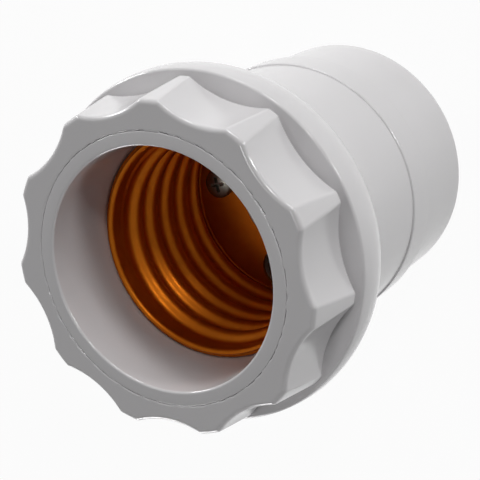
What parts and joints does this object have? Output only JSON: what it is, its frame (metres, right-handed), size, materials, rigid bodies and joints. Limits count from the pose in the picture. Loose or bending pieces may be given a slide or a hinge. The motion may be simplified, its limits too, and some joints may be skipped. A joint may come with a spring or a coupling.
{
  "type": "lamp socket",
  "caption": "White plastic lamp socket for an Edison screw lamp cap, with a scalloped shade ring, a flange, a screw-on rear cap and a brass screw shell.",
  "frame": {"origin": "centre of the flat rear face of the rear cap, on which the socket stands", "axes": "+Z along the socket's axis towards the mouth, +X through one of the two shell screws, +Y through the plate screw's well"},
  "size_m": [0.0432, 0.0432, 0.0496],
  "materials": {
    "white_plastic": "satin moulded",
    "block_plastic": "matt moulded",
    "brass": "drawn and bright",
    "steel": "zinc plated"
  },
  "bodies": {
    "holder": {"shell": "white_plastic", "screw_shell": "brass", "contact_block": "block_plastic", "contact_spring": "steel", "shell_screws": "steel", "shell_washer": "steel", "shell_nut": "steel", "line_plate": "brass", "line_clamp": "brass", "neutral_clamp": "brass", "clamp_screws": "steel", "pressure_washers": "steel", "plate_screw": "steel", "block_screws": "steel"},
    "ring": {"shade_ring": "white_plastic"},
    "cap": {"rear_cap": "white_plastic", "entry_bush": "brass", "bush_lock_washer": "steel", "bush_nut": "steel"},
    "contact": {"centre_contact": "brass"}
  },
  "joints": [
    {"name": "ring_turn", "type": "hinge", "parent": "holder", "child": "ring", "pos_m": [0, 0, 0.0455], "axis": [0, 0, 1], "range_deg": [0, 1440]},
    {"name": "cap_turn", "type": "hinge", "parent": "holder", "child": "cap", "pos_m": [0, 0, 0.014], "axis": [0, 0, -1], "range_deg": [0, 1080]},
    {"name": "contact_press", "type": "slide", "parent": "holder", "child": "contact", "axis": [0, 0, 1], "range_m": [-0.0015, 0], "stiffness_N_per_m": 1500, "springref_m": 0.0006, "deforming": ["contact_spring"]}
  ]
}
